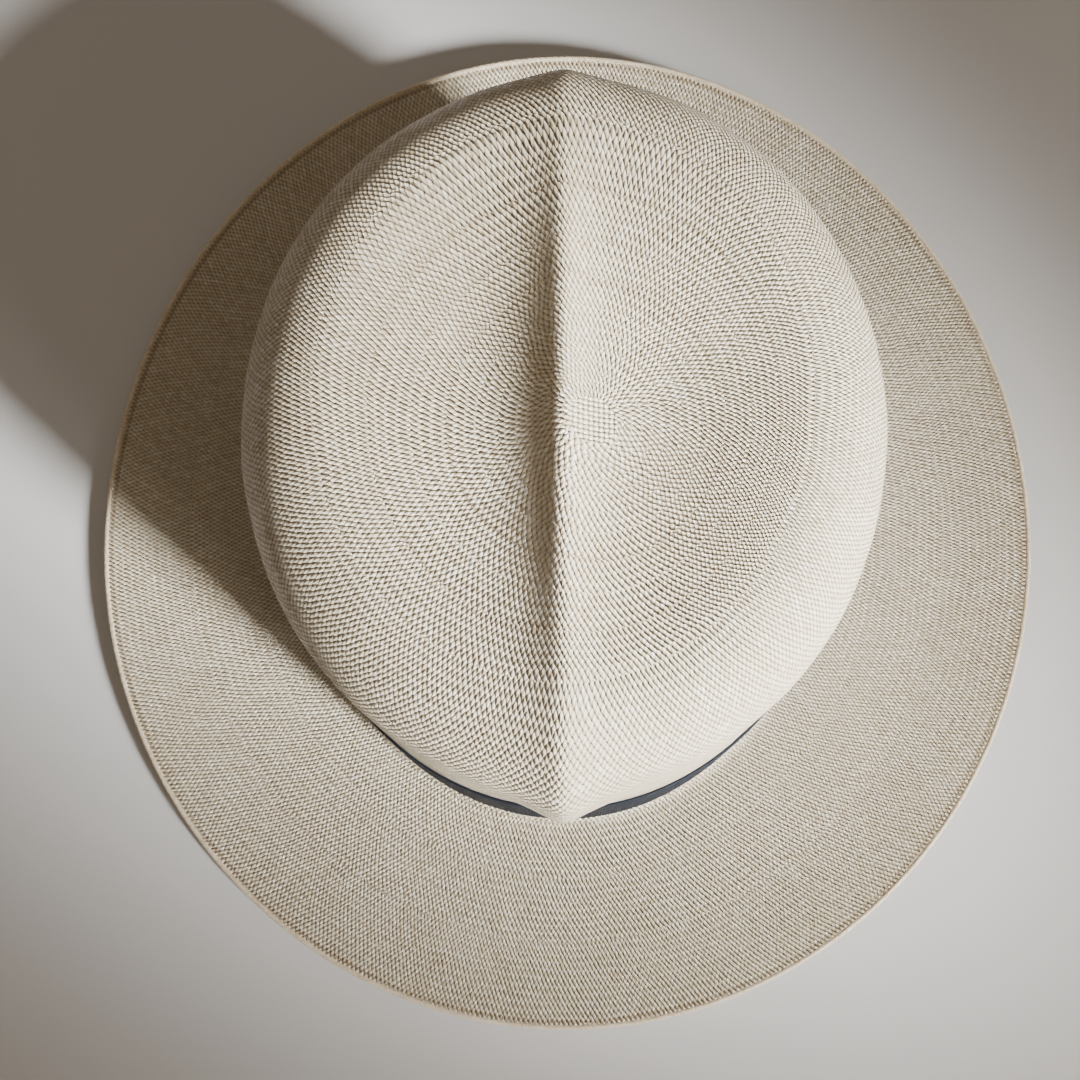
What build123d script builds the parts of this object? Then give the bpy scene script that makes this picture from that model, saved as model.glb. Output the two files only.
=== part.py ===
from build123d import *
from math import asin, atan, cos, exp, hypot, pi, sin
import os

# Woven straw hat with a ridged oval crown, in millimetres.
# +Z is up, the wearer faces -Y, and +X is the wearer's left.
# The hat stands on its brim at Z = 0, with the origin under the middle of its outline.

# Head oval: the outer face of the straw where the crown meets the brim
HALF_WIDTH = 86.3
HALF_LENGTH = 102.4
EGG = 0.008                     # the oval is this much wider behind than in front
STRAW = 1.3                     # thickness of the woven straw

# Brim
BRIM_SIDE = 71.3                # brim width at the sides, in front and behind
BRIM_FRONT = 63.7
BRIM_BACK = 69.9
BREAK_HEIGHT = 2.45             # top face of the straw where the brim starts
BRIM_DIP = 0.7                  # how far a flat brim falls from there to its edge
LIFT_SIDE = 4.2                 # how far the brim's edge turns up
LIFT_BACK = 13.4
LIFT_POWER = 2.4
EDGE_BEAD = 0.45                # the turned-back edge stands this proud on each face
EDGE_BEAD_WIDTH = 2.2
BREAK_RADIUS = 4.0              # corner between brim and crown wall

# Crown
LEAN_SIDE = 0.024               # inward lean of the wall, mm per mm of height
LEAN_FRONT = 0.086
LEAN_BACK = 0.052
WALL_TOP = 93.5
SHOULDER_RADIUS = 25.3
DISH_DEPTH = 7.0                # hollow on each side of the ridge
RIDGE_HEIGHT = 11.0             # ridge above the bottom of the hollow
TIP_FRONT = 6.8                 # ridge where it runs over the front shoulder
TIP_BACK = 2.7                  # and over the back one
RIDGE_HALF_LENGTH = 62.0
RIDGE_SPREAD = 9.0
TIP_SPREAD = 10.8
CREST_RADIUS = 2.5
TIP_FADE_LOW = 44.0             # the ridge fades out of the wall between these heights
TIP_FADE_HIGH = 82.0

# Ribbon band and bow, on the outside of the crown
CLEAR = 0.15                    # gap between neighbouring layers
BAND_LOW = 6.5
BAND_HEIGHT = 36.0
BAND_THICK = 0.7
TAIL_THICK = 0.6
TAIL_LENGTH = 45.0
TAIL_NOTCH = 8.0
TAIL_MARGIN = 1.5               # the tail is this much narrower than the band at each edge
WING_THICK = 2.2
WING_LENGTH = 34.0
WING_PINCH = 24.0               # height of a wing where the knot holds it
WING_WAIST = 9.0                # where the wing starts to spread, from the knot's middle
KNOT_WIDTH = 17.0
KNOT_THICK = 0.9
KNOT_ROOM = 2.2                 # free height above and below the pinched wings
TACK_PLACES = 8                 # round the crown
TACK_LENGTH = 1.6
TACK_INSET = 1.2                # from the band's edge

# Sweatband, inside the crown
LEATHER = 0.9
LEATHER_GAP = 0.6               # between straw and leather
LEATHER_LOW = 3.6
LEATHER_HIGH = 42.0
REED_RADIUS = 0.75
REED_HEIGHT = 2.35
TAPE_THICK = 0.25
TAPE_TOP = 10.0
SEAM_SLIT = 0.3
PATCH_WIDTH = 14.0
STITCH_COUNT = 96
STITCH_LENGTH = 2.4
STITCH_RISE = 2.2               # from the leather's lower edge
SEAM_STITCH_COUNT = 7
SEAM_STITCH_STEP = 3.2
SEAM_STITCH_RISE = 14.0
THREAD_WIDTH = 0.45
THREAD_THICK = 0.3
BACK_BOW_HEIGHT = 16.0          # small ribbon bow at the foot of the seam
BACK_BOW_WIDTH = 4.0
BACK_BOW_THICK = 0.35
BACK_LOOP_LENGTH = 9.2
BACK_LOOP_DEPTH = 3.0
BACK_TAIL_LENGTH = 9.0

OVAL_POINTS = 48                # points on each closed loop
STRAW_COLUMNS = 72              # steps of the straw's point grid round half of the hat
TALL = 60.0                     # cutters reach this high, above every layer of ribbon and leather

# Reaches of the layers, measured outwards from the straw's outer face
BAND_OUT = CLEAR + BAND_THICK
TAIL_IN = BAND_OUT + CLEAR
TAIL_OUT = TAIL_IN + TAIL_THICK
WING_IN = TAIL_OUT + CLEAR
WING_OUT = WING_IN + WING_THICK
TAPE_OUT = -STRAW - CLEAR
TAPE_IN = TAPE_OUT - TAPE_THICK
LEATHER_OUT = -STRAW - LEATHER_GAP
LEATHER_IN = LEATHER_OUT - LEATHER
ROLL_RADIUS = REED_RADIUS + 0.05 + TAPE_THICK
REED_REACH = TAPE_OUT - ROLL_RADIUS
ON_TOP = THREAD_THICK / 2 + 0.03    # from a layer's face to the middle of a stitch on it
BAND_HIGH = BAND_LOW + BAND_HEIGHT
BOW_MIDDLE = BAND_LOW + BAND_HEIGHT / 2


def mixed(t, side, front, back):
    """A value that changes round the hat: sides, front (-90 degrees) and back (+90 degrees)."""
    end = front if sin(t) < 0 else back
    return side + (end - side) * sin(t) ** 2


def smooth(q):
    """A step from 0 to 1 with soft ends."""
    q = min(max(q, 0.0), 1.0)
    return q * q * (3 - 2 * q)


def oval(t, reach):
    """X and Y on the head oval at angle t, pushed outwards by reach."""
    x = (HALF_WIDTH + reach) * cos(t) * (1 + EGG * sin(t))
    y = (HALF_LENGTH + reach) * sin(t)
    return x, y


def crest(x, spread):
    """Section across the ridge: 1 on its middle line, falling away on both sides."""
    return exp((CREST_RADIUS - hypot(x, CREST_RADIUS)) / spread)


def tip_height(t):
    return TIP_FRONT if sin(t) < 0 else TIP_BACK


def wall_angle(t):
    return atan(mixed(t, LEAN_SIDE, LEAN_FRONT, LEAN_BACK))


def wall_reach(t, height):
    """Outer face of the crown wall at a height."""
    lean = wall_angle(t)
    foot = BREAK_HEIGHT + BREAK_RADIUS * (1 - sin(lean))
    return BREAK_RADIUS * (1 - cos(lean)) - mixed(t, LEAN_SIDE, LEAN_FRONT, LEAN_BACK) * (height - foot)


def brim_point(q, t, side):
    """q runs from 0 at the crown to 1 at the edge; side is +1 on top and -1 underneath."""
    lift = mixed(t, LIFT_SIDE, 0.0, LIFT_BACK)
    width = mixed(t, BRIM_SIDE, BRIM_FRONT, BRIM_BACK)
    curl_loss = 0.5 * (lift * q) ** 2 / width
    x, y = oval(t, BREAK_RADIUS + (width - BREAK_RADIUS) * q - curl_loss)
    bead = EDGE_BEAD * smooth(1 - (1 - q) * width / EDGE_BEAD_WIDTH)
    middle = BREAK_HEIGHT - STRAW / 2 - BRIM_DIP * q + lift * q ** LIFT_POWER
    return Vector(x, y, middle + side * (STRAW / 2 + bead))


def break_point(q, t, sink):
    """The corner between brim and wall."""
    turn = q * (pi / 2 - wall_angle(t))
    radius = BREAK_RADIUS + sink
    x, y = oval(t, BREAK_RADIUS - radius * sin(turn))
    return Vector(x, y, BREAK_HEIGHT + BREAK_RADIUS - radius * cos(turn))


def wall_point(q, t, sink):
    lean = wall_angle(t)
    foot = BREAK_HEIGHT + BREAK_RADIUS * (1 - sin(lean))
    height = foot + (WALL_TOP - foot) * q
    x, y = oval(t, wall_reach(t, height) - sink * cos(lean))
    fade = smooth((height - TIP_FADE_LOW) / (TIP_FADE_HIGH - TIP_FADE_LOW))
    tip = tip_height(t) * fade * crest(x, TIP_SPREAD)
    return Vector(x, y + (tip if y > 0 else -tip), height - sink * sin(lean))


def shoulder_point(q, t, sink):
    lean = wall_angle(t)
    slope = lean + q * (pi / 2 - lean)
    reach = wall_reach(t, WALL_TOP) - SHOULDER_RADIUS * (cos(lean) - cos(slope))
    height = WALL_TOP + SHOULDER_RADIUS * (sin(slope) - sin(lean))
    x, y = oval(t, reach - sink * cos(slope))
    tip = tip_height(t) * crest(x, TIP_SPREAD + (RIDGE_SPREAD - TIP_SPREAD) * q)
    out = tip * cos(slope)
    return Vector(x, y + (out if y > 0 else -out), height + tip * sin(slope) - sink * sin(slope))


def top_point(q, t, sink):
    """From the inside of the shoulder, q = 0, to the middle line of the ridge, q = 1."""
    lean = wall_angle(t)
    rim = wall_reach(t, WALL_TOP) - SHOULDER_RADIUS * cos(lean)
    height = WALL_TOP + SHOULDER_RADIUS * (1 - sin(lean))
    rim_x, rim_y = oval(t, rim)
    half_width = (HALF_WIDTH + rim) * (1 + EGG * sin(t))
    half_length = HALF_LENGTH + rim
    x = rim_x * (1 - q)
    y = rim_y * (1 - q) + RIDGE_HALF_LENGTH * sin(t) * q
    inside = max(1 - (x / half_width) ** 2 - (y / half_length) ** 2, 0.0)
    along = max(1 - (y / half_length) ** 2, 0.0)
    tip = tip_height(t)
    ridge = tip + (RIDGE_HEIGHT - tip) * along
    dish = DISH_DEPTH * inside ** 1.5
    return Vector(x, y, height - dish + ridge * crest(x, RIDGE_SPREAD) - sink)


def straw_grid(side):
    """Points of one face of the straw, over the wearer's left half of the hat."""
    sink = 0.0 if side > 0 else STRAW
    angles = [pi * (i / STRAW_COLUMNS - 0.5) for i in range(STRAW_COLUMNS + 1)]
    edge_steps = [1.0, 0.992, 0.984, 0.974, 0.962, 0.94]
    brim_steps = edge_steps + [0.94 * (1 - i / 12) for i in range(1, 13)]
    rows = [[brim_point(q, t, side) for t in angles] for q in brim_steps]
    rows += [[break_point(i / 6, t, sink) for t in angles] for i in range(1, 7)]
    rows += [[wall_point(i / 14, t, sink) for t in angles] for i in range(1, 15)]
    rows += [[shoulder_point(i / 12, t, sink) for t in angles] for i in range(1, 13)]
    rows += [[top_point(i / 24, t, sink) for t in angles] for i in range(1, 25)]
    return rows


def make_straw_body():
    """Crown and brim: two half faces outside, two inside, and the thin edge between them."""
    outer = Face.make_surface_from_array_of_points(straw_grid(1), tol=0.02, min_deg=3, max_deg=5)
    inner = Face.make_surface_from_array_of_points(straw_grid(-1), tol=0.02, min_deg=3, max_deg=5)
    rim_outer = outer.edges().sort_by(lambda e: (e @ 0.5).X)[-1]
    rim_inner = inner.edges().sort_by(lambda e: (e @ 0.5).X)[-1]
    rim = Face.make_surface_from_curves(rim_outer, rim_inner)
    half = [outer, inner, rim]
    faces = half + [mirror(face, about=Plane.YZ) for face in half]
    return Solid(Shell(faces))


def loop(reach_at, height):
    """A closed curve round the hat at one height, where reach_at gives the reach at each angle."""
    turns = [2 * pi * i / OVAL_POINTS for i in range(OVAL_POINTS)]
    points = [Vector(*oval(t, reach_at(t)), height) for t in turns]
    return Wire([Edge.make_spline(points, periodic=True)])


def wall_block(reach, low, high):
    """A solid oval plug whose side lies at this reach from the straw's outer face."""
    sections = [loop(lambda t, z=z: wall_reach(t, z) + reach, z) for z in (low, high)]
    return Solid.make_loft(sections, ruled=True)


def wall_ring(inner, outer, low, high):
    """A strip that follows the crown wall between two reaches from the straw's outer face."""
    return wall_block(outer, low, high) - wall_block(inner, low - 1, high + 1)


def side_plate(outline, depth=40.0):
    """An upright plate through the wearer's left side, from (y, z) corners."""
    face = make_face(Polyline(*[(HALF_WIDTH - depth / 2, y, z) for y, z in outline], close=True))
    return extrude(face, amount=depth, dir=(1, 0, 0))


def square(half_width, half_height):
    """Corners of an upright rectangle round the bow's middle."""
    return [(y * half_width, BOW_MIDDLE + z * half_height) for y, z in ((-1, -1), (1, -1), (1, 1), (-1, 1))]


def box(low, high):
    """A box between two corners."""
    size = [b - a for a, b in zip(low, high)]
    return Pos(*low) * Box(*size, align=(Align.MIN, Align.MIN, Align.MIN))


def make_hatband():
    return wall_ring(CLEAR, BAND_OUT, BAND_LOW, BAND_HIGH)


def make_bow_tail():
    """The ribbon's cut end, flat on the band behind the back wing, with a notched end."""
    low = BAND_LOW + TAIL_MARGIN
    high = BAND_HIGH - TAIL_MARGIN
    outline = [
        (2, low + 4),
        (TAIL_LENGTH, low),
        (TAIL_LENGTH - TAIL_NOTCH, BOW_MIDDLE),
        (TAIL_LENGTH, high),
        (2, high - 4),
    ]
    return wall_ring(TAIL_IN, TAIL_OUT, 0.0, TALL) & side_plate(outline)


def make_bow_wing(direction):
    """A folded wing: full height at its outer end and pinched at the knot."""
    half = BAND_HEIGHT / 2 - 0.5
    pinch = WING_PINCH / 2
    start = 0.3 * direction
    waist = WING_WAIST * direction
    end = WING_LENGTH * direction
    outline = [
        (start, BOW_MIDDLE - pinch),
        (waist, BOW_MIDDLE - pinch - 1),
        (end, BOW_MIDDLE - half),
        (end, BOW_MIDDLE + half),
        (waist, BOW_MIDDLE + pinch + 1),
        (start, BOW_MIDDLE + pinch),
    ]
    return wall_ring(WING_IN, WING_OUT, 0.0, TALL) & side_plate(outline)


def make_bow_knot():
    """A short cross ribbon over both wings, with its ends turned down to the band."""
    cover = wall_ring(TAIL_IN, WING_OUT + CLEAR + KNOT_THICK, 0.0, TALL)
    cover &= side_plate(square(KNOT_WIDTH / 2, BAND_HEIGHT / 2 - 0.3))
    room = wall_block(WING_OUT + CLEAR, 0.0, TALL)
    room &= side_plate(square(KNOT_WIDTH, WING_PINCH / 2 + KNOT_ROOM), depth=60.0)
    return cover - room


def make_sweatband():
    """A leather strip whose two ends meet at the back."""
    strip = wall_ring(LEATHER_IN, LEATHER_OUT, LEATHER_LOW, LEATHER_HIGH)
    return strip - box((-SEAM_SLIT / 2, 0, 0), (SEAM_SLIT / 2, 2 * HALF_LENGTH, TALL))


def reed_tube(radius):
    """A round tube along the foot of the sweatband."""
    turns = [2 * pi * i / OVAL_POINTS for i in range(OVAL_POINTS)]
    path = Edge.make_spline([Vector(*oval(t, REED_REACH), REED_HEIGHT) for t in turns], periodic=True)
    start = Plane(path @ 0, z_dir=path % 0)
    return sweep(start * Circle(radius), path=path)


def make_reed():
    return reed_tube(REED_RADIUS)


def make_reed_tape():
    """Woven tape wrapped round the reed, with its edge sewn up behind the leather."""
    roll = reed_tube(ROLL_RADIUS) - reed_tube(ROLL_RADIUS - TAPE_THICK)
    flange = wall_ring(TAPE_IN, TAPE_OUT, REED_HEIGHT + 1.2, TAPE_TOP)
    return Compound([*roll.solids(), *flange.solids()])


def make_seam_patch():
    """A strip behind the butt seam at the back."""
    ring = wall_ring(TAPE_IN, TAPE_OUT, TAPE_TOP + 1, LEATHER_HIGH - 3)
    return ring & box((-PATCH_WIDTH / 2, 0, 0), (PATCH_WIDTH / 2, 2 * HALF_LENGTH, TALL))


def on_wall(t, height, reach):
    """A place on the crown wall: its X runs round the hat, its Y up the wall and its Z outwards."""
    point = Vector(*oval(t, wall_reach(t, height) + reach), height)
    ahead = Vector(*oval(t + 0.01, wall_reach(t, height) + reach), height)
    above = Vector(*oval(t, wall_reach(t, height + 1) + reach), height + 1)
    along = (ahead - point).normalized()
    return Plane(point, x_dir=along, z_dir=along.cross(above - point))


def stitch(t, height, reach, tilt=0.0, length=STITCH_LENGTH):
    """One visible stitch, lying on the layer whose face is at this reach."""
    return on_wall(t, height, reach) * Rot(0, 0, tilt) * Box(length, THREAD_WIDTH, THREAD_THICK)


def make_sweatband_stitches():
    """The row of thread along the foot of the leather."""
    turns = [2 * pi * (i + 0.5) / STITCH_COUNT for i in range(STITCH_COUNT)]
    return Compound([stitch(t, LEATHER_LOW + STITCH_RISE, LEATHER_IN - ON_TOP) for t in turns])


def make_seam_stitches():
    """Slanting threads that draw the two ends of the leather together."""
    heights = [LEATHER_LOW + SEAM_STITCH_RISE + SEAM_STITCH_STEP * i for i in range(SEAM_STITCH_COUNT)]
    return Compound([stitch(pi / 2, z, LEATHER_IN - ON_TOP, tilt=28, length=4.0) for z in heights])


def make_hatband_tacks():
    """Upright threads over both edges of the band, at even places round the crown."""
    tacks = []
    for i in range(TACK_PLACES):
        t = 2 * pi * (i + 0.5) / TACK_PLACES
        for z in (BAND_LOW + TACK_INSET, BAND_HIGH - TACK_INSET):
            tacks.append(stitch(t, z, BAND_OUT + ON_TOP, tilt=90, length=TACK_LENGTH))
    return Compound(tacks)


def make_bow_tacks():
    """A thread at each outer corner of the wings."""
    tacks = []
    for y in (3 - WING_LENGTH, WING_LENGTH - 3):
        for z in (BOW_MIDDLE - 14.0, BOW_MIDDLE + 14.0):
            tacks.append(stitch(asin(y / HALF_LENGTH), z, WING_OUT + ON_TOP, tilt=90, length=TACK_LENGTH))
    return Compound(tacks)


def make_back_bow_loops():
    """Two flat loops and two tails of narrow ribbon, inside the hat at the foot of the seam."""
    pieces = []
    seat = on_wall(pi / 2, BACK_BOW_HEIGHT, LEATHER_IN)
    outer = Ellipse(BACK_LOOP_LENGTH / 2, BACK_LOOP_DEPTH / 2)
    inner = Ellipse(BACK_LOOP_LENGTH / 2 - BACK_BOW_THICK, BACK_LOOP_DEPTH / 2 - BACK_BOW_THICK)
    ribbon_loop = extrude(outer - inner, amount=BACK_BOW_WIDTH / 2, both=True)
    tail = Box(BACK_TAIL_LENGTH, BACK_BOW_WIDTH, BACK_BOW_THICK)
    for direction in (-1, 1):
        pieces.append(seat * Pos(direction * 6.2, 0, -2.4) * Rot(90, 0, 0) * ribbon_loop)
        tail_seat = on_wall(pi / 2 + direction * 0.055, BACK_BOW_HEIGHT - 4.6, LEATHER_IN - 0.55)
        pieces.append(tail_seat * Rot(0, 0, direction * -52) * tail)
    return Compound([solid for piece in pieces for solid in piece.solids()])


def make_back_bow_knot():
    knot = fillet(Box(2.4, BACK_BOW_WIDTH + 0.8, 3.4).edges(), 0.5)
    return on_wall(pi / 2, BACK_BOW_HEIGHT, LEATHER_IN) * Pos(0, 0, -2.6) * knot


def save(name, shape):
    """Move a piece into the hat's frame, with the outline's middle over the origin, and write it."""
    front = brim_point(1.0, -pi / 2, 1).Y
    back = brim_point(1.0, pi / 2, 1).Y
    placed = Pos(0, -(front + back) / 2, 0) * shape
    export_step(placed, f"parts/{name}.step")


os.makedirs("parts", exist_ok=True)
save("straw_body", make_straw_body())
save("hatband", make_hatband())
save("bow_under_tail", make_bow_tail())
save("bow_front_wing", make_bow_wing(-1))
save("bow_back_wing", make_bow_wing(1))
save("bow_knot", make_bow_knot())
save("sweatband", make_sweatband())
save("reed", make_reed())
save("reed_tape", make_reed_tape())
save("seam_patch", make_seam_patch())
save("sweatband_stitches", make_sweatband_stitches())
save("seam_stitches", make_seam_stitches())
save("hatband_tacks", make_hatband_tacks())
save("bow_tacks", make_bow_tacks())
save("back_bow_loops", make_back_bow_loops())
save("back_bow_knot", make_back_bow_knot())
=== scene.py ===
import math

import bpy
import numpy as np
from mathutils import Matrix, Vector


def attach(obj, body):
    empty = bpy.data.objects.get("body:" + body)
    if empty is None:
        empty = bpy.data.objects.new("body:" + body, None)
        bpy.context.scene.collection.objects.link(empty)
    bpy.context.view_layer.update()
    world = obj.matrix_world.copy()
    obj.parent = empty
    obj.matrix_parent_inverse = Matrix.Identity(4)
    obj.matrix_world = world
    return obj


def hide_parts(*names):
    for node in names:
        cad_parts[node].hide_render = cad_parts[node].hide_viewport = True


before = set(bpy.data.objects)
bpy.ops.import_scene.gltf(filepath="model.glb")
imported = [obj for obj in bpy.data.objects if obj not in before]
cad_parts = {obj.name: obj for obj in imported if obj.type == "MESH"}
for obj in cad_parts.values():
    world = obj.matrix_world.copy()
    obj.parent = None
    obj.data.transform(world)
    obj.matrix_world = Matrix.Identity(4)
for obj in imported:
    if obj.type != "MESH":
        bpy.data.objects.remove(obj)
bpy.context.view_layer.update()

# A woven straw hat. Sizes are in millimetres, as in the CAD model, and become metres in make_mesh.
# +Z is up, the wearer faces -Y and +X is the wearer's left. Angles run round the hat from +X.
MM = 0.001
PI = math.pi

HALF_WIDTH = 86.3               # head oval, at the outer face of the straw
HALF_LENGTH = 102.4
EGG = 0.008                     # the oval is this much wider behind than in front
STRAW = 1.3                     # thickness of the straw

BRIM_SIDE = 71.3
BRIM_FRONT = 63.7
BRIM_BACK = 69.9
BREAK_HEIGHT = 2.45             # top of the brim where it meets the wall
BRIM_DIP = 0.7
LIFT_SIDE = 4.2                 # how far the brim's edge turns up
LIFT_BACK = 13.4
LIFT_POWER = 2.4
BREAK_RADIUS = 4.0              # bend between the brim and the wall

LEAN_SIDE = 0.024               # inward lean of the wall, as a slope
LEAN_FRONT = 0.086
LEAN_BACK = 0.052
WALL_TOP = 93.5
SHOULDER_RADIUS = 25.3
DISH_DEPTH = 7.0
RIDGE_HEIGHT = 11.0
TIP_FRONT = 6.8                 # ridge where it runs over the front shoulder
TIP_BACK = 2.7                  # and over the back one
RIDGE_HALF_LENGTH = 62.0
RIDGE_SPREAD = 9.0
TIP_SPREAD = 10.8
CREST_RADIUS = 2.5
TIP_FADE_LOW = 44.0             # heights between which the front tip grows out of the wall
TIP_FADE_HIGH = 82.0

BAND_LOW = 6.5
BAND_HEIGHT = 36.0
BAND_IN = 0.12                  # reaches are measured outwards from the straw's outer face
BAND_OUT = 0.78
TAIL_MIDDLE = 1.3
TAIL_LENGTH = 45.0
TAIL_NOTCH = 8.0
WING_FLOOR = 2.0
WING_LENGTH = 34.0
WING_PINCH = 24.0
KNOT_TOP = 4.6
KNOT_WIDTH = 17.0
RIBBON = 0.45                   # thickness of the bow's ribbon
RIB_PITCH = 0.95                # grosgrain ribs
RIB_COUNT = 632                 # ribs round the whole band
RIB_HEIGHT = 0.07
BOW_MIDDLE = BAND_LOW + BAND_HEIGHT / 2
BAND_HIGH = BAND_LOW + BAND_HEIGHT

LEATHER_IN = -2.8
LEATHER_OUT = -1.9
LEATHER_LOW = 3.6
LEATHER_HIGH = 42.0
TAPE_IN = -1.7
TAPE_OUT = -1.45
TAPE_TOP = 10.0
REED_RADIUS = 0.75
REED_REACH = -2.5
REED_HEIGHT = 2.35
ROLL_RADIUS = 1.05
STITCH_COUNT = 96
PATCH_HALF_WIDTH = 7.0
PATCH = 0.22                    # thickness of the seam patch
BACK_BOW_HEIGHT = 16.0
BACK_BOW_RIBBON = 0.3           # thickness of its ribbon
HEAD_RADIUS = 95.0              # mean radius of the wall, for patterns that run round it

# Weave
WEAVE_X = 7.5                   # the weave's middle, a little to the wearer's left of the ridge
WEAVE_Y = -8.5
RIM_ROW = 66.0                  # distance along the weave from its middle to the shoulder
ROW_SCALE = 300.0               # the mesh stores that distance divided by this
ROW_PITCH = 2.6                 # from a row to the next but one
STRAND_PITCH = 1.24             # spacing round the hat where strands were last added
CENTRE_PITCH = 1.25             # strand spacing in the square centre of the weave
SHOULDER_SPREAD = 0.66          # how fast the weave widens over the shoulder
WALL_RADIUS = 93.0
GROWTH_RINGS = (35.8, 55.0)     # rows where added strands show as a faint ring
ADDED_AT = [6.0, 7.6, 9.6, 12.0, 15.0, 18.7, 23.2, 28.8, 35.8, 44.5, 55.0, 68.0, 197.0, 216.0, 238.0]


# ---------------------------------------------------------------- shape of the hat

def mixed(t, side, front, back):
    end = np.where(np.sin(t) < 0, front, back)
    return side + (end - side) * np.sin(t) ** 2


def smooth(q):
    q = np.clip(q, 0.0, 1.0)
    return q * q * (3 - 2 * q)


def oval(t, reach):
    x = (HALF_WIDTH + reach) * np.cos(t) * (1 + EGG * np.sin(t))
    y = (HALF_LENGTH + reach) * np.sin(t)
    return x, y


def crest(x, spread):
    return np.exp((CREST_RADIUS - np.hypot(x, CREST_RADIUS)) / spread)


def tip_height(t):
    return np.where(np.sin(t) < 0, TIP_FRONT, TIP_BACK)


def wall_angle(t):
    return np.arctan(mixed(t, LEAN_SIDE, LEAN_FRONT, LEAN_BACK))


def wall_reach(t, height):
    lean = wall_angle(t)
    foot = BREAK_HEIGHT + BREAK_RADIUS * (1 - np.sin(lean))
    return BREAK_RADIUS * (1 - np.cos(lean)) - np.tan(lean) * (height - foot)


def hand_made(x, y, height):
    """Slow unevenness of a hand-blocked straw body, in mm, only above the ribbon."""
    fade = smooth((height - 46) / 22)
    waves = np.sin(x / 13 + 1.3 * np.sin(y / 21)) * np.sin(y / 16 + 0.7 + x / 40)
    waves += 0.6 * np.sin(x / 6.1 + y / 9.7 + 2.1) * np.sin(y / 7.3 - x / 15)
    return 0.16 * fade * waves


def brim_wave(x, y, q):
    """Slow unevenness of the brim, growing towards its edge."""
    t = np.arctan2(y, x)
    return 0.35 * q ** 2 * (1 - np.sin(t)) * np.sin(3 * t + 0.8) ** 2


def brim_point(q, t, side):
    lift = mixed(t, LIFT_SIDE, 0.0, LIFT_BACK)
    width = mixed(t, BRIM_SIDE, BRIM_FRONT, BRIM_BACK)
    curl_loss = 0.5 * (lift * q) ** 2 / width
    x, y = oval(t, BREAK_RADIUS + (width - BREAK_RADIUS) * q - curl_loss)
    middle = BREAK_HEIGHT - STRAW / 2 - BRIM_DIP * q + lift * q ** LIFT_POWER
    middle = middle + brim_wave(x, y, q)
    return np.stack([x, y, middle + side * STRAW / 2], -1)


def break_point(q, t, sink):
    turn = q * (PI / 2 - wall_angle(t))
    radius = BREAK_RADIUS + sink
    x, y = oval(t, BREAK_RADIUS - radius * np.sin(turn))
    return np.stack([x, y, BREAK_HEIGHT + BREAK_RADIUS - radius * np.cos(turn)], -1)


def wall_point(q, t, sink):
    lean = wall_angle(t)
    foot = BREAK_HEIGHT + BREAK_RADIUS * (1 - np.sin(lean))
    height = foot + (WALL_TOP - foot) * q
    x, y = oval(t, wall_reach(t, height) - sink * np.cos(lean))
    fade = smooth((height - TIP_FADE_LOW) / (TIP_FADE_HIGH - TIP_FADE_LOW))
    tip = tip_height(t) * fade * crest(x, TIP_SPREAD)
    bump = hand_made(x, y, height)
    x = x + bump * np.cos(t)
    y = y + bump * np.sin(t) + np.where(y > 0, tip, -tip)
    return np.stack([x, y, height - sink * np.sin(lean)], -1)


def shoulder_point(q, t, sink):
    lean = wall_angle(t)
    slope = lean + q * (PI / 2 - lean)
    reach = wall_reach(t, WALL_TOP) - SHOULDER_RADIUS * (np.cos(lean) - np.cos(slope))
    height = WALL_TOP + SHOULDER_RADIUS * (np.sin(slope) - np.sin(lean))
    x, y = oval(t, reach - sink * np.cos(slope))
    tip = tip_height(t) * crest(x, TIP_SPREAD + (RIDGE_SPREAD - TIP_SPREAD) * q)
    bump = hand_made(x, y, height)
    out = np.where(y > 0, tip, -tip) * np.cos(slope)
    x = x + bump * np.cos(t) * np.cos(slope)
    y = y + bump * np.sin(t) * np.cos(slope) + out
    return np.stack([x, y, height + (tip + bump - sink) * np.sin(slope)], -1)


def rim_reach(t):
    """Where the shoulder ends and the top of the crown starts."""
    return wall_reach(t, WALL_TOP) - SHOULDER_RADIUS * np.cos(wall_angle(t))


def top_point(q, t, sink):
    rim = rim_reach(t)
    height = WALL_TOP + SHOULDER_RADIUS * (1 - np.sin(wall_angle(t)))
    rim_x, rim_y = oval(t, rim)
    half_width = (HALF_WIDTH + rim) * (1 + EGG * np.sin(t))
    half_length = HALF_LENGTH + rim
    x = rim_x * (1 - q)
    y = rim_y * (1 - q) + RIDGE_HALF_LENGTH * np.sin(t) * q
    inside = np.clip(1 - (x / half_width) ** 2 - (y / half_length) ** 2, 0, 1)
    along = np.clip(1 - (y / half_length) ** 2, 0, 1)
    ridge = tip_height(t) + (RIDGE_HEIGHT - tip_height(t)) * along
    dish = DISH_DEPTH * inside ** 1.5
    z = height - dish + ridge * crest(x, RIDGE_SPREAD) + hand_made(x, y, height) - sink
    return np.stack([x, y, z], -1)


# ---------------------------------------------------------------- mesh helpers

front_edge = brim_point(1.0, np.array([-PI / 2]), 1)[0]
back_edge = brim_point(1.0, np.array([PI / 2]), 1)[0]
SHIFT = np.array([0.0, -(front_edge[1] + back_edge[1]) / 2, 0.0])


def grid_faces(rows, columns, wrap=True):
    """Quads between neighbouring rows of a grid of vertices."""
    last = columns if wrap else columns - 1
    row, column = np.meshgrid(np.arange(rows - 1), np.arange(last), indexing="ij")
    here = row * columns + column
    beside = row * columns + (column + 1) % columns
    return np.stack([here, beside, beside + columns, here + columns], -1).reshape(-1, 4)


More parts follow.
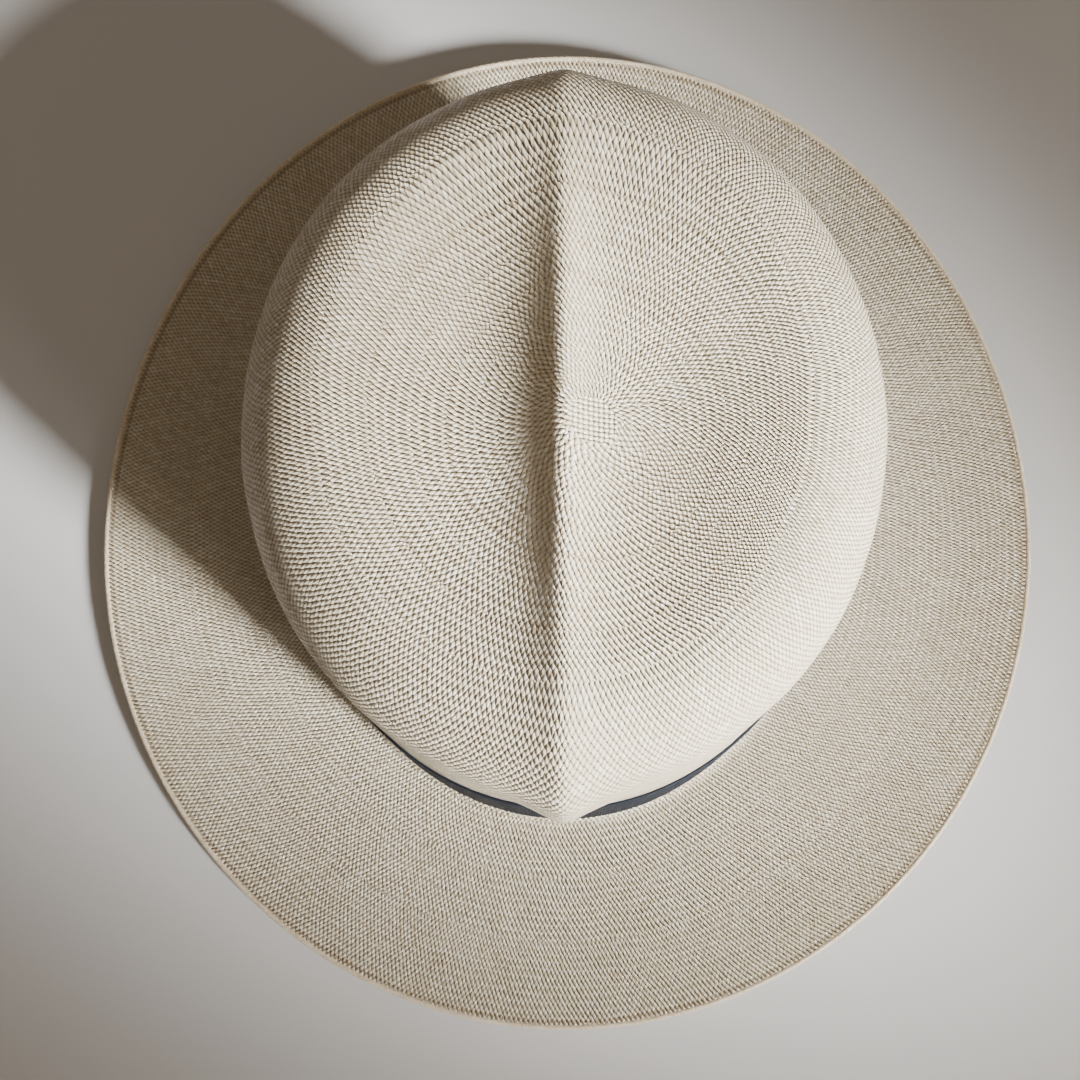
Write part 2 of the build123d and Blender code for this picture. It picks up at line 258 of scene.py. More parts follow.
def make_mesh(name, points, faces, uv=None):
    """A smooth mesh from points in hat millimetres; uv gives one pair for each point."""
    mesh = bpy.data.meshes.new(name)
    mesh.from_pydata(((np.asarray(points) + SHIFT) * MM).tolist(), [], [list(f) for f in faces])
    mesh.validate()
    if uv is not None:
        layer = mesh.uv_layers.new(name="weave")
        corners = np.zeros(len(mesh.loops), np.int32)
        mesh.loops.foreach_get("vertex_index", corners)
        layer.data.foreach_set("uv", np.asarray(uv, np.float32)[corners].ravel())
    mesh.shade_smooth()
    piece = bpy.data.objects.new(name, mesh)
    bpy.context.collection.objects.link(piece)
    return piece


def finish_piece(piece, material, slot, *nodes):
    piece.data.materials.append(material)
    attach(piece, "root")
    if nodes:
        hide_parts(*nodes)


def thicken(piece, thickness):
    solid = piece.modifiers.new("Thickness", "SOLIDIFY")
    solid.thickness = thickness * MM
    solid.offset = 0.0
    solid.use_even_offset = False     # an even offset makes spikes where ribbon folds back


def joined(parts):
    """One list of points and faces from several."""
    points, faces, start = [], [], 0
    for part_points, part_faces in parts:
        points.append(np.asarray(part_points).reshape(-1, 3))
        faces += [[start + i for i in face] for face in part_faces]
        start += len(points[-1])
    return np.concatenate(points), faces


def ring(section, columns, ripple=None):
    """A closed ring that follows the crown wall; section is a closed list of (reach, height)."""
    t = np.arange(columns) * 2 * PI / columns
    rows = []
    for i, (reach, height) in enumerate(section):
        extra = ripple(i, t) if ripple else 0.0
        x, y = oval(t, wall_reach(t, height) + reach + extra)
        rows.append(np.stack([x, y, np.full_like(t, height)], -1))
    rows.append(rows[0])
    points = np.array(rows[:-1]).reshape(-1, 3)
    faces = grid_faces(len(rows), columns)
    return points, (faces % len(points)).tolist()


def tube(line, radius, sides=8, closed=False, taper=0.0):
    """A round tube along a line of points; its ends narrow by taper and are capped."""
    line = np.asarray(line, float)
    count = len(line)
    if closed:
        ahead = np.roll(line, -1, 0) - np.roll(line, 1, 0)
    else:
        ahead = np.gradient(line, axis=0)
    ahead /= np.linalg.norm(ahead, axis=1)[:, None]
    across = np.cross(ahead, [0.0, 0.0, 1.0])
    weak = np.linalg.norm(across, axis=1) < 0.05
    across[weak] = np.cross(ahead[weak], [0.0, 1.0, 0.0])
    across /= np.linalg.norm(across, axis=1)[:, None]
    above = np.cross(across, ahead)
    turn = np.arange(sides) * 2 * PI / sides
    place = np.linspace(-1, 1, count)
    size = np.asarray(radius) * (1 - taper * place ** 6)
    circle = np.cos(turn)[None, :, None] * across[:, None] + np.sin(turn)[None, :, None] * above[:, None]
    points = (line[:, None] + circle * size[:, None, None]).reshape(-1, 3)
    if closed:
        faces = (grid_faces(count + 1, sides) % len(points)).tolist()
    else:
        faces = grid_faces(count, sides).tolist()
        faces += [list(range(sides))[::-1], list(range((count - 1) * sides, count * sides))]
    return points, faces


def seat(t, height, reach):
    """A place on the crown wall: its middle, and the ways round, up and out."""
    t = float(t)

    def at(angle, level):
        x, y = oval(np.array(angle), wall_reach(np.array(angle), level) + reach)
        return np.array([float(x), float(y), level])

    middle = at(t, height)
    along = at(t + 0.01, height) - middle
    along /= np.linalg.norm(along)
    rise = at(t, height + 1) - middle
    out = np.cross(along, rise)
    out /= np.linalg.norm(out)
    return middle, along, np.cross(out, along), out


def in_seat(place, local):
    """Points given as (round, up, out) in a seat, in hat millimetres."""
    middle, along, up, out = place
    local = np.asarray(local, float)
    return middle + local[..., :1] * along + local[..., 1:2] * up + local[..., 2:3] * out


def stitches(places, length, tilt, radius=0.17, rise=0.28, sink=-0.12):
    """Short arched threads, one in each seat."""
    parts = []
    for place in places:
        s = np.linspace(-1, 1, 9)
        lift = sink + (rise - sink) * (1 - s ** 4)
        local = np.stack([s * length / 2 * math.cos(tilt), s * length / 2 * math.sin(tilt), lift], -1)
        parts.append(tube(in_seat(place, local), radius, sides=6, taper=0.3))
    return joined(parts)


# ---------------------------------------------------------------- material helpers

class Graph:
    """Writes shader nodes as calls; an input is a number or another node's output."""

    def __init__(self, name):
        self.material = bpy.data.materials.new(name)
        self.material.use_nodes = True
        self.tree = self.material.node_tree
        self.shader = self.tree.nodes["Principled BSDF"]

    def node(self, kind, **settings):
        made = self.tree.nodes.new(kind)
        for key, value in settings.items():
            setattr(made, key, value)
        return made

    def put(self, socket, value):
        if isinstance(value, bpy.types.NodeSocket):
            self.tree.links.new(value, socket)
        else:
            socket.default_value = value

    def math(self, operation, a, b=0.0, c=0.0):
        made = self.node("ShaderNodeMath", operation=operation)
        for socket, value in zip(made.inputs, (a, b, c)):
            self.put(socket, value)
        return made.outputs[0]

    def add(self, a, b):
        return self.math("ADD", a, b)

    def sub(self, a, b):
        return self.math("SUBTRACT", a, b)

    def mul(self, a, b):
        return self.math("MULTIPLY", a, b)

    def blend(self, share, a, b):
        made = self.node("ShaderNodeMix", data_type="FLOAT")
        for socket, value in zip((made.inputs[0], made.inputs[2], made.inputs[3]), (share, a, b)):
            self.put(socket, value)
        return made.outputs[0]

    def colour(self, share, a, b):
        made = self.node("ShaderNodeMix", data_type="RGBA")
        self.put(made.inputs[0], share)
        for socket, value in zip((made.inputs[6], made.inputs[7]), (a, b)):
            self.put(socket, value if isinstance(value, bpy.types.NodeSocket) else (*value, 1.0))
        return made.outputs[2]

    def ramp(self, value, low, high, a=0.0, b=1.0):
        made = self.node("ShaderNodeMapRange", interpolation_type="SMOOTHSTEP")
        for socket, number in zip(made.inputs[:5], (value, low, high, a, b)):
            self.put(socket, number)
        return made.outputs[0]

    def place(self):
        """Where a point is in the row frame, in millimetres."""
        coords = self.node("ShaderNodeTexCoord").outputs["Object"]
        scaled = self.node("ShaderNodeVectorMath", operation="SCALE")
        self.put(scaled.inputs[0], coords)
        scaled.inputs["Scale"].default_value = 1 / MM
        return scaled.outputs[0]

    def xyz(self, vector):
        made = self.node("ShaderNodeSeparateXYZ")
        self.put(made.inputs[0], vector)
        return made.outputs[:3]

    def vector(self, x, y, z=0.0):
        made = self.node("ShaderNodeCombineXYZ")
        for socket, value in zip(made.inputs, (x, y, z)):
            self.put(socket, value)
        return made.outputs[0]

    def noise(self, vector, scale, detail):
        made = self.node("ShaderNodeTexNoise")
        self.put(made.inputs["Vector"], vector)
        made.inputs["Scale"].default_value = scale
        made.inputs["Detail"].default_value = detail
        return made.outputs["Fac"]

    def random(self, vector):
        made = self.node("ShaderNodeTexWhiteNoise", noise_dimensions="3D")
        self.put(made.inputs["Vector"], vector)
        return made.outputs["Value"]

    def bump(self, height, distance):
        made = self.node("ShaderNodeBump")
        made.inputs["Strength"].default_value = 1.0
        made.inputs["Distance"].default_value = distance * MM
        self.put(made.inputs["Height"], height)
        self.put(self.shader.inputs["Normal"], made.outputs[0])

    def surface(self, colour, roughness, specular=0.5, sheen=0.0):
        self.put(self.shader.inputs["Base Color"], colour)
        self.put(self.shader.inputs["Roughness"], roughness)
        self.shader.inputs["Specular IOR Level"].default_value = specular
        self.shader.inputs["Sheen Weight"].default_value = sheen
        return self.material


SHOULDER_ROWS = SHOULDER_RADIUS * PI / 2
WALL_ROWS = WALL_TOP - BREAK_HEIGHT - BREAK_RADIUS
BRIM_ROW = RIM_ROW + SHOULDER_ROWS + WALL_ROWS + BREAK_RADIUS * PI / 2
EDGE_ROW = BRIM_ROW + BRIM_SIDE - BREAK_RADIUS


def strand_count(row):
    """Strands round the hat where more are added, from the true radius at that row of the weave."""
    radius = row if row < RIM_ROW else min(RIM_ROW + (row - RIM_ROW) * SHOULDER_SPREAD, WALL_RADIUS)
    radius += max(row - BRIM_ROW, 0.0)
    return round(2 * PI * radius / STRAND_PITCH)


def flat_section(g, across):
    """How far a strand's surface falls away from its middle line, as a share of its thickness."""
    square = g.mul(across, across)
    return g.mul(square, g.math("MULTIPLY_ADD", square, 0.80, 0.22))


def weave_pattern(g):
    """Plain weave: each strand of a family rises over one strand of the other and dives under the next."""
    place = g.place()
    x, y = g.xyz(place)[:2]
    row = g.mul(g.xyz(g.node("ShaderNodeUVMap", uv_map="weave").outputs[0])[0], ROW_SCALE)
    slow = g.sub(g.noise(place, 0.055, 1.0), 0.5)
    fast = g.sub(g.noise(place, 0.35, 2.0), 0.5)
    dx = g.sub(x, WEAVE_X)
    dy = g.sub(y, WEAVE_Y)
    turn = g.math("DIVIDE", g.math("ARCTAN2", dy, dx), 2 * PI)

    count, before = 0.0, 0
    for start in ADDED_AT:
        total = strand_count(start)
        step = g.math("GREATER_THAN", row, start)
        count = g.math("MULTIPLY_ADD", step, float(total - before), count)
        before = total
    ring_number = g.add(g.math("DIVIDE", row, ROW_PITCH), g.add(g.mul(slow, 1.2), g.mul(fast, 0.25)))
    round_number = g.add(g.mul(turn, count), g.mul(fast, 0.3))
    inner = g.math("LESS_THAN", row, ADDED_AT[0])
    u = g.blend(inner, g.add(round_number, ring_number), g.math("DIVIDE", dx, CENTRE_PITCH))
    v = g.blend(inner, g.sub(round_number, ring_number), g.math("DIVIDE", dy, CENTRE_PITCH))

    cell_u = g.math("FLOOR", u)
    cell_v = g.math("FLOOR", v)
    across_u = g.math("MULTIPLY_ADD", g.sub(u, cell_u), 2.0, -1.0)
    across_v = g.math("MULTIPLY_ADD", g.sub(v, cell_v), 2.0, -1.0)
    sign_u = g.math("MULTIPLY_ADD", g.math("FLOORED_MODULO", cell_u, 2.0), -2.0, 1.0)
    sign_v = g.math("MULTIPLY_ADD", g.math("FLOORED_MODULO", cell_v, 2.0), -2.0, 1.0)
    rise_a = g.mul(g.math("SINE", g.mul(u, PI)), g.mul(sign_v, 0.5))
    rise_b = g.mul(g.math("SINE", g.mul(v, PI)), g.mul(sign_u, -0.5))
    top_a = g.sub(rise_a, flat_section(g, across_v))
    top_b = g.sub(rise_b, flat_section(g, across_u))
    over = g.math("GREATER_THAN", top_a, top_b)
    apart = g.math("ABSOLUTE", g.sub(top_a, top_b))
    number = g.blend(over, cell_u, cell_v)
    across = g.blend(over, across_u, across_v)
    along = g.blend(over, v, u)
    family = g.mul(over, 77.0)
    strand = g.random(g.vector(number, family, g.mul(inner, 5.0)))
    tone = g.noise(g.vector(g.mul(number, 7.3), g.mul(along, 0.45), family), 1.0, 1.0)
    lines = g.vector(g.math("MULTIPLY_ADD", number, 3.1, g.mul(across, 2.3)), g.mul(along, 0.3), family)
    return {
        "place": place, "row": row, "strand": strand, "tone": tone,
        "height": g.math("MAXIMUM", top_a, top_b), "apart": apart, "fibres": g.noise(lines, 2.2, 2.0),
    }


def straw_material():
    g = Graph("woven_straw")
    w = weave_pattern(g)
    pale = g.colour(w["strand"], (0.70, 0.625, 0.47), (0.56, 0.47, 0.325))
    pale = g.colour(g.ramp(w["tone"], 0.50, 0.72, 0.0, 0.75), pale, (0.82, 0.775, 0.66))
    pale = g.colour(g.ramp(w["tone"], 0.42, 0.26, 0.0, 0.55), pale, (0.47, 0.36, 0.22))
    pale = g.colour(g.ramp(w["fibres"], 0.48, 0.75, 0.0, 0.35), pale, (0.45, 0.35, 0.22))
    aged = g.noise(w["place"], 0.03, 3.0)
    pale = g.colour(g.ramp(aged, 0.38, 0.7, 0.0, 0.25), pale, (0.54, 0.44, 0.29))
    # Painted highlight: the crest of each strand, where it rides over the other family, is made paler.
    pale = g.colour(g.ramp(w["height"], 0.25, 0.5, 0.0, 0.35), pale, (0.90, 0.86, 0.75))
    # Painted shade: the strands are darkened where they dive under the other family (gap) and along the
    # creases where the two families meet (crease).
    gap = g.ramp(w["height"], 0.0, -0.75)
    crease = g.ramp(w["apart"], 0.34, 0.0)
    shade = g.math("MAXIMUM", g.mul(gap, 0.92), g.mul(crease, 0.50))
    colour = g.colour(shade, pale, (0.13, 0.095, 0.055))
    for start in GROWTH_RINGS:
        near = g.math("ABSOLUTE", g.sub(w["row"], start))
        colour = g.colour(g.ramp(near, 1.5, 0.2, 0.0, 0.28), colour, (0.40, 0.30, 0.18))
    # Painted shade: a dark line 2.2 mm in from the brim's edge, along the inner side of the plaited edge
    # bead.
    groove_shade = g.math("ABSOLUTE", g.sub(w["row"], EDGE_ROW - 2.2))
    colour = g.colour(g.ramp(groove_shade, 0.9, 0.3, 0.0, 0.5), colour, (0.27, 0.18, 0.09))
    rough = g.blend(gap, g.math("MULTIPLY_ADD", w["strand"], 0.14, 0.30), 0.75)
    g.bump(g.math("MULTIPLY_ADD", w["fibres"], 0.12, w["height"]), 0.60)
    return g.surface(colour, rough, specular=0.5)


def plaited_material():
    """The turned-back straw along the brim's edge."""
    g = Graph("plaited_straw")
    place = g.place()
    streak = g.noise(place, 1.7, 3.0)
    colour = g.colour(g.ramp(streak, 0.35, 0.7), (0.78, 0.67, 0.49), (0.55, 0.42, 0.27))
    colour = g.colour(g.ramp(g.noise(place, 0.25, 1.0), 0.4, 0.65, 0.0, 0.35), colour, (0.86, 0.78, 0.62))
    g.bump(streak, 0.12)
    return g.surface(colour, g.ramp(streak, 0.3, 0.8, 0.38, 0.6), sheen=0.1)


def ribbon_material():
    """Navy grosgrain; its ribs are in the mesh, its yarns are here."""
    g = Graph("navy_grosgrain")
    place = g.place()
    x, y, z = g.xyz(place)
    turn = g.math("ARCTAN2", y, x)
    yarn = g.math("SINE", g.mul(z, 2 * PI / 0.34))
    twist = g.math("SINE", g.add(g.mul(turn, HEAD_RADIUS / 0.11), g.mul(z, 3.0)))
    fuzz = g.noise(place, 3.0, 3.0)
    weave = g.add(g.mul(yarn, 0.5), g.mul(twist, 0.25))
    lit = g.ramp(g.add(weave, fuzz), -0.2, 1.4)
    colour = g.colour(lit, (0.004, 0.006, 0.011), (0.011, 0.016, 0.027))
    wear = g.noise(place, 0.06, 2.0)
    colour = g.colour(g.ramp(wear, 0.5, 0.75, 0.0, 0.35), colour, (0.014, 0.020, 0.030))
    g.bump(g.add(weave, g.mul(fuzz, 0.6)), 0.05)
    return g.surface(colour, g.ramp(fuzz, 0.3, 0.8, 0.6, 0.8), specular=0.2)


def leather_material():
    g = Graph("tan_leather")
    place = g.place()
    cells = g.node("ShaderNodeTexVoronoi", feature="DISTANCE_TO_EDGE")
    g.put(cells.inputs["Vector"], place)
    cells.inputs["Scale"].default_value = 1.1
    grain = g.ramp(cells.outputs["Distance"], 0.0, 0.28)
    pores = g.noise(place, 2.6, 3.0)
    patch = g.noise(place, 0.05, 3.0)
    colour = g.colour(patch, (0.37, 0.215, 0.115), (0.50, 0.31, 0.175))
    colour = g.colour(g.ramp(grain, 0.6, 0.0, 0.0, 0.45), colour, (0.22, 0.12, 0.06))
    z = g.xyz(place)[2]
    edge = g.ramp(z, LEATHER_HIGH - 1.6, LEATHER_HIGH, 0.0, 0.5)
    colour = g.colour(edge, colour, (0.24, 0.13, 0.07))
    g.bump(g.add(grain, g.mul(pores, 0.5)), 0.10)
    return g.surface(colour, g.ramp(pores, 0.3, 0.75, 0.36, 0.56), specular=0.45)


def tape_material():
    """Tan cotton tape in a fine plain weave."""
    g = Graph("cotton_tape")
    place = g.place()
    x, y, z = g.xyz(place)
    turn = g.mul(g.math("ARCTAN2", y, x), HEAD_RADIUS)
    warp = g.math("SINE", g.mul(turn, 2 * PI / 0.5))
    weft = g.math("SINE", g.mul(z, 2 * PI / 0.42))
    weave = g.mul(warp, weft)
    fuzz = g.noise(place, 2.5, 3.0)
    lit = g.ramp(g.add(weave, fuzz), -0.6, 1.5)
    colour = g.colour(lit, (0.23, 0.155, 0.09), (0.48, 0.36, 0.235))
    g.bump(g.add(weave, fuzz), 0.08)
    return g.surface(colour, 0.85, specular=0.25, sheen=0.2)


def thread_material(name, dark, light):
    g = Graph(name)
    place = g.place()
    x, y, z = g.xyz(place)
    ply = g.math("SINE", g.mul(g.add(g.add(x, y), g.mul(z, 1.7)), 2 * PI / 0.5))
    fuzz = g.noise(place, 4.0, 2.0)
    colour = g.colour(g.ramp(g.add(ply, fuzz), -0.8, 1.4), dark, light)
    g.bump(ply, 0.06)
    return g.surface(colour, g.ramp(fuzz, 0.3, 0.7, 0.45, 0.65), specular=0.4)


def reed_material():
    g = Graph("reed_plastic")
    place = g.place()
    haze = g.noise(place, 0.8, 3.0)
    colour = g.colour(haze, (0.70, 0.68, 0.60), (0.80, 0.78, 0.71))
    g.bump(g.noise(place, 5.0, 2.0), 0.02)
    return g.surface(colour, g.ramp(haze, 0.3, 0.7, 0.3, 0.42))


# ---------------------------------------------------------------- straw

COLUMNS = 432


def weave_row(stage, q, points):
    """Distance along the weave from its middle, in mm, for one row of points."""
    if stage == "top":
        t = np.linspace(0, 2 * PI, 721)
        rim_x, rim_y = oval(t, rim_reach(t))
        angle = np.unwrap(np.arctan2(rim_y - WEAVE_Y, rim_x - WEAVE_X))
        rim = np.hypot(rim_x - WEAVE_X, rim_y - WEAVE_Y)
        dx, dy = points[:, 0] - WEAVE_X, points[:, 1] - WEAVE_Y
        here = np.mod(np.arctan2(dy, dx) - angle[0], 2 * PI) + angle[0]
        limit = np.interp(here, angle, rim)
        distance = np.hypot(dx, dy)
        share = np.clip(distance / limit, 0, 1)
        return distance * (1 + (RIM_ROW / limit - 1) * share ** 2)
    lengths = {
        "shoulder": RIM_ROW + SHOULDER_ROWS * (1 - q),
        "wall": RIM_ROW + SHOULDER_ROWS + WALL_ROWS * (1 - q),
        "break": BRIM_ROW - BREAK_RADIUS * PI / 2 * q,
        "brim": BRIM_ROW + (EDGE_ROW - BRIM_ROW) * q,
    }
    return np.full(len(points), lengths[stage])


def straw_face(steps, side, t):
    """Rows of one face, from the ridge out to the edge, and their weave rows."""
    brim, corner, wall, shoulder, top = steps
    sink = 0.0 if side > 0 else STRAW
    stations = [("top", 1 - (i / top) ** 1.25, top_point, sink) for i in range(top)]
    stations += [("shoulder", 1 - i / shoulder, shoulder_point, sink) for i in range(shoulder)]
    stations += [("wall", 1 - i / wall, wall_point, sink) for i in range(wall)]
    stations += [("break", 1 - i / corner, break_point, sink) for i in range(corner)]
    stations += [("brim", i / brim, brim_point, side) for i in range(brim + 1)]
    rows = [point(q, t, setting) for stage, q, point, setting in stations]
    weave = [weave_row(station[0], station[1], row) for station, row in zip(stations, rows)]
    return rows, weave


def build_straw():
    """Crown and brim as one closed shell, from the ridge outside to the ridge inside."""
    t = np.arange(COLUMNS) * 2 * PI / COLUMNS
    outer, outer_weave = straw_face((44, 5, 34, 20, 46), 1, t)
    inner, inner_weave = straw_face((20, 4, 16, 10, 24), -1, t)
    points = np.array(outer + inner[::-1])
    weave = np.array(outer_weave + inner_weave[::-1])
    rows = len(points)
    faces = grid_faces(rows, COLUMNS)
    column = np.arange(COLUMNS)
    fold = np.where(np.cos(t) > -1e-9, column, (COLUMNS // 2 - column) % COLUMNS)
    same = np.arange(rows * COLUMNS)
    same[:COLUMNS] = fold
    same[-COLUMNS:] = (rows - 1) * COLUMNS + fold
    faces = same[faces]
    used, index = np.unique(faces, return_inverse=True)
    flat_weave = weave.reshape(-1)[used] / ROW_SCALE
    uv = np.stack([flat_weave, np.zeros_like(flat_weave)], -1)
    faces = index.reshape(-1, 4).tolist()
    piece = make_mesh("straw_shell", points.reshape(-1, 3)[used], faces, uv)
    finish_piece(piece, straw_material(), "straw", "straw_body")


def build_edge():
    """The brim's edge: the ends of the straw turned back and plaited, as a row of slanting beads."""
    count = 424
    samples = count * 7
    t = np.arange(samples) * 2 * PI / samples
    line = (brim_point(1.0, t, 1) + brim_point(1.0, t, -1)) / 2
    radial = np.stack([np.cos(t), np.sin(t), np.zeros_like(t)], -1)
    line = line - radial * 0.35
    sides = 10
    turn = np.arange(sides) * 2 * PI / sides
    phase = t[:, None] * count + turn[None, :]
    size = 0.78 + 0.17 * np.abs(np.sin(phase / 2)) ** 0.7
    up = np.array([0.0, 0.0, 1.0])
    way = np.cos(turn)[None, :, None] * radial[:, None] + np.sin(turn)[None, :, None] * up
    points = (line[:, None] + way * size[..., None]).reshape(-1, 3)
    faces = (grid_faces(samples + 1, sides) % len(points)).tolist()
    piece = make_mesh("brim_edge_plait", points, faces)
    finish_piece(piece, plaited_material(), "straw")


# ---------------------------------------------------------------- ribbon band and bow

def on_side(y, z, reach):
    """Points over the crown's left wall, from their place along the hat and their reach."""
    t = np.arcsin(np.clip(y / HALF_LENGTH, -1, 1))
    for _ in range(3):
        t = np.arcsin(np.clip(y / (HALF_LENGTH + wall_reach(t, z) + reach), -1, 1))
    x = (HALF_WIDTH + wall_reach(t, z) + reach) * np.cos(t) * (1 + EGG * np.sin(t))
    return np.stack([x, y, z], -1)


def ribs(length):
    """Cross ribs along a ribbon, from the distance along it."""
    return RIB_HEIGHT * np.cos(2 * PI * length / RIB_PITCH)


def build_hatband(material):
    levels = BAND_LOW + BAND_HEIGHT * np.array([0.0, 0.008, 0.03, 0.2, 0.4, 0.6, 0.8, 0.97, 0.992, 1.0])
    outside = [(BAND_OUT - (0.25 if i in (0, 9) else 0.0), z) for i, z in enumerate(levels)]
    section = outside + [(BAND_IN, BAND_HIGH), (BAND_IN, BOW_MIDDLE), (BAND_IN, BAND_LOW)]

    def ripple(i, t):
        wave = 0.10 * np.sin(5 * t + 0.4 * i) * np.sin(3 * t + 1.0) if 0 < i < 9 else 0.0 * t
        return wave + (RIB_HEIGHT * np.cos(RIB_COUNT * t) if i < 10 else 0.0 * t)

    points, faces = ring(section, RIB_COUNT * 4, ripple)
    piece = make_mesh("hatband_ribbon", points, faces)
    finish_piece(piece, material, "ribbon", "hatband")


def ribbon_strip(name, y, z, reach, material, node):
    """A thickened ribbon from grids of place, height and reach over the left wall."""
    rows, columns = y.shape
    points = on_side(y, z, reach).reshape(-1, 3)
    piece = make_mesh(name, points, grid_faces(rows, columns, wrap=False).tolist())
    thicken(piece, RIBBON)
    finish_piece(piece, material, "ribbon", node)


def build_tail(material):
    """The cut end of the ribbon under the back wing, with a notched end."""
    along, w = np.meshgrid(np.linspace(0, 1, 220), np.linspace(-1, 1, 25), indexing="ij")
    end = TAIL_LENGTH - TAIL_NOTCH * (1 - np.abs(w))
    y = 2 + (end - 2) * along
    half = BAND_HEIGHT / 2 - 1.5 - 4 * (1 - np.clip(y / 40, 0, 1))
    loose = 0.10 * np.clip(y - WING_LENGTH, 0, 9) * (0.5 + 0.5 * w ** 2)
    reach = TAIL_MIDDLE + 0.8 * ribs(y) + loose
    ribbon_strip("bow_tail_ribbon", y, BOW_MIDDLE + w * half, reach, material, "bow_under_tail")


def wing_grid(direction, length, floor, puff, full):
    """One folded loop of ribbon: out from the knot, round its end, and back underneath."""
    steps = int(2.1 * length / RIB_PITCH * 4)
    s, w = np.meshgrid(np.linspace(0, 2, steps), np.linspace(-1, 1, 29), indexing="ij")
    upper = s < 1
    end = length - 1.6 * w ** 2
    y = end * np.sin(np.where(upper, s, 2 - s) * PI / 2) ** 0.9
    fold = np.sqrt(1 - np.clip((y - end + 3) / 3, 0, 1) ** 2)
    belly = puff * np.sin(y / end * PI * 0.86) * (1 - 0.55 * w ** 2)
    pleats = 0.42 * (1 + np.cos(w * 5.2 * PI)) * np.exp(-y / 13)
    reach = floor + np.where(upper, 0.55 + belly * fold + pleats, 0.0) + 0.8 * ribs(s * length)
    half = WING_PINCH / 2 + (full - WING_PINCH / 2) * smooth(y / (length * 0.85)) ** 0.9
    return direction * (0.6 + y), BOW_MIDDLE + w * half, reach


def build_wing(name, direction, material, node):
    """A wing of two folded loops, the upper one shorter."""
    parts = []
    full = BAND_HEIGHT / 2 - 1.0
    lower = (WING_LENGTH - 0.8, WING_FLOOR, 0.7, full)
    upper = (WING_LENGTH - 8.5, WING_FLOOR + 0.85, 0.9, full - 1.2)
    for length, floor, puff, height in (lower, upper):
        y, z, reach = wing_grid(direction, length, floor, puff, height)
        rows, columns = y.shape
        parts.append((on_side(y, z, reach), grid_faces(rows, columns, wrap=False).tolist()))
    piece = make_mesh(name, *joined(parts))
    thicken(piece, RIBBON)
    finish_piece(piece, material, "ribbon", node)


def build_knot(material):
    """The cross ribbon round the bow's middle, tucked behind at top and bottom."""
    along, w = np.meshgrid(np.linspace(-1, 1, 160), np.linspace(-1, 1, 31), indexing="ij")
    z = BOW_MIDDLE + along * (BAND_HEIGHT / 2 - 0.3)
    y = w * (KNOT_WIDTH / 2 - 0.9 * (1 - along ** 2))
    over = np.sqrt(np.clip(1 - np.clip((np.abs(along) - 0.70) / 0.30, 0, 1) ** 2, 0, 1))
    pleats = 0.16 * np.cos(w * 4.4 * PI) * over
    sides = 1.5 * np.clip((np.abs(w) - 0.80) / 0.20, 0, 1) ** 2
    reach = 1.2 + (KNOT_TOP - 1.2 + 0.5) * over * (1 - 0.06 * w ** 2) + pleats - sides * over
    reach = reach + ribs(along * BAND_HEIGHT / 2) * 0.8
    ribbon_strip("bow_knot_ribbon", y, z, reach, material, "bow_knot")


# ---------------------------------------------------------------- inside the crown

def build_sweatband():
    """A leather strip whose ends meet at the back, with a rounded top edge."""
    gap = 0.0019
    columns = 520
    t = np.linspace(PI / 2 + gap, 5 * PI / 2 - gap, columns)
    inside = [(LEATHER_IN, z) for z in np.linspace(LEATHER_LOW + 0.3, LEATHER_HIGH - 0.5, 22)]
    middle = (LEATHER_IN + LEATHER_OUT) / 2
    near_top = LEATHER_HIGH - 0.12
    top = [(LEATHER_IN + 0.18, near_top), (middle, LEATHER_HIGH), (LEATHER_OUT - 0.18, near_top)]
    outside = [(LEATHER_OUT, z) for z in np.linspace(LEATHER_HIGH - 0.5, LEATHER_LOW + 0.3, 8)]
    foot = [(LEATHER_OUT - 0.2, LEATHER_LOW), (LEATHER_IN + 0.2, LEATHER_LOW)]
    rows = []
    for i, (reach, height) in enumerate(inside + top + outside + foot):
        soft = 0.30 * smooth((height - 14) / 20) * np.sin(7 * t + 0.6) * np.sin(4 * t)
        ease = -0.22 * math.sin(PI * (height - LEATHER_LOW) / (LEATHER_HIGH - LEATHER_LOW))
        x, y = oval(t, wall_reach(t, height) + reach + np.minimum(soft, 0) + ease * (i < 22))
        rows.append(np.stack([x, y, np.full_like(t, height)], -1))
    count = len(rows)
    points = np.array(rows).reshape(-1, 3)
    wrapped = grid_faces(count + 1, columns, wrap=False) % (count * columns)
    faces = wrapped[:, ::-1].tolist()
    faces += [[i * columns for i in range(count)], [i * columns + columns - 1 for i in range(count)][::-1]]
    piece = make_mesh("sweatband_leather", points, faces)
    finish_piece(piece, leather_material(), "leather", "sweatband")


def build_reed():
    t = np.arange(360) * 2 * PI / 360
    x, y = oval(t, REED_REACH)
    line = np.stack([x, y, np.full_like(t, REED_HEIGHT)], -1)
    points, faces = tube(line, REED_RADIUS, sides=10, closed=True)
    finish_piece(make_mesh("reed_cord", points, faces), reed_material(), "reed", "reed")


def build_tape(material):
    """Tape rolled round the reed, and its edge standing up behind the leather."""
    t = np.arange(720) * 2 * PI / 720
    x, y = oval(t, REED_REACH)
    line = np.stack([x, y, np.full_like(t, REED_HEIGHT)], -1)
    wrinkle = ROLL_RADIUS - 0.12 + 0.03 * np.sin(180 * t) + 0.03 * np.sin(61 * t)
    roll = tube(line, wrinkle, sides=12, closed=True)
    heights = np.linspace(REED_HEIGHT + 0.3, TAPE_TOP, 5)
    section = [(TAPE_OUT, z) for z in heights] + [(TAPE_IN, z) for z in heights[::-1]]
    piece = make_mesh("reed_tape_cotton", *joined([roll, ring(section, 360)]))
    finish_piece(piece, material, "tape", "reed_tape")


